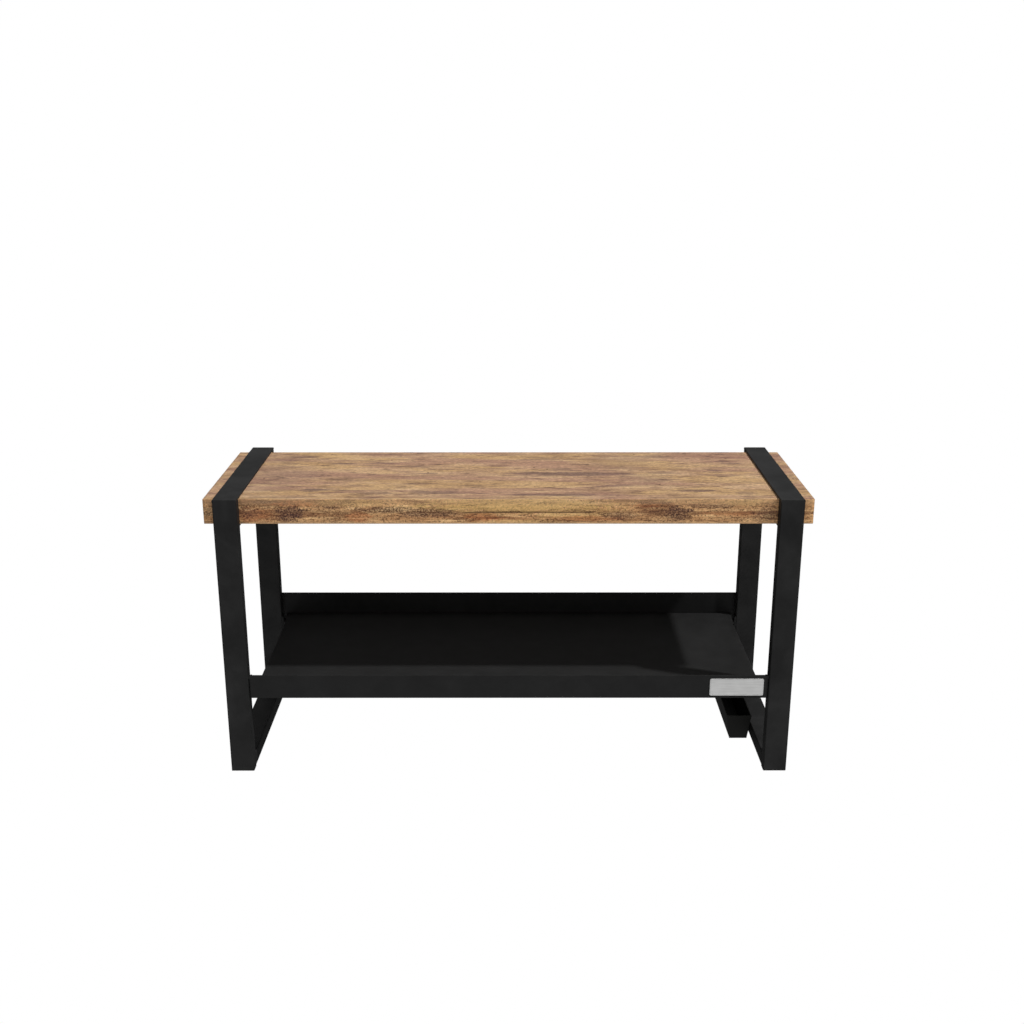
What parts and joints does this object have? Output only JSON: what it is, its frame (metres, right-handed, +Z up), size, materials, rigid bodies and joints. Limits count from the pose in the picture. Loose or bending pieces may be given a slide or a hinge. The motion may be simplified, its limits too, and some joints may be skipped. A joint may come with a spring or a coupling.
{
  "type": "entryway bench",
  "caption": "Entryway bench with a thick wooden seat board gripped by rectangular steel hoops and a sheet-metal shoe shelf below.",
  "frame": {"origin": "on the floor, under the middle of the bench", "axes": "+X along the seat to the right as seen from the front, +Y from the front to the rear, +Z up"},
  "size_m": [1.016, 0.345, 0.498],
  "materials": {
    "seat_wood": "rustic brown plank foil, satin, with dark grain and knots",
    "frame_black": "black powder coat, satin",
    "shelf_black": "black powder coat on sheet steel, fine texture",
    "trough_black": "black paint, satin, darker than the frame",
    "foot_black": "matt black moulded plastic",
    "plate_silver": "brushed, blank",
    "bolt_black": "black oxide, satin",
    "nut_zinc": "zinc plated"
  },
  "bodies": {
    "root": {"seat_board": "seat_wood", "left_front_leg": "frame_black", "left_rear_leg": "frame_black", "left_floor_bar": "frame_black", "left_top_strap": "frame_black", "left_seat_bearer": "frame_black", "right_front_leg": "frame_black", "right_rear_leg": "frame_black", "right_floor_bar": "frame_black", "right_top_strap": "frame_black", "right_seat_bearer": "frame_black", "left_front_foot": "foot_black", "left_rear_foot": "foot_black", "right_front_foot": "foot_black", "right_rear_foot": "foot_black", "front_rail": "shelf_black", "rear_rail": "shelf_black", "shelf_pan": "shelf_black", "left_shelf_stiffener": "shelf_black", "right_shelf_stiffener": "shelf_black", "seat_screws": "nut_zinc", "front_rail_bolts": "bolt_black", "rear_rail_bolts": "bolt_black", "weld_nuts": "nut_zinc", "name_plate": "plate_silver", "drip_trough": "trough_black", "trough_packing_blocks": "frame_black"}
  },
  "joints": []
}
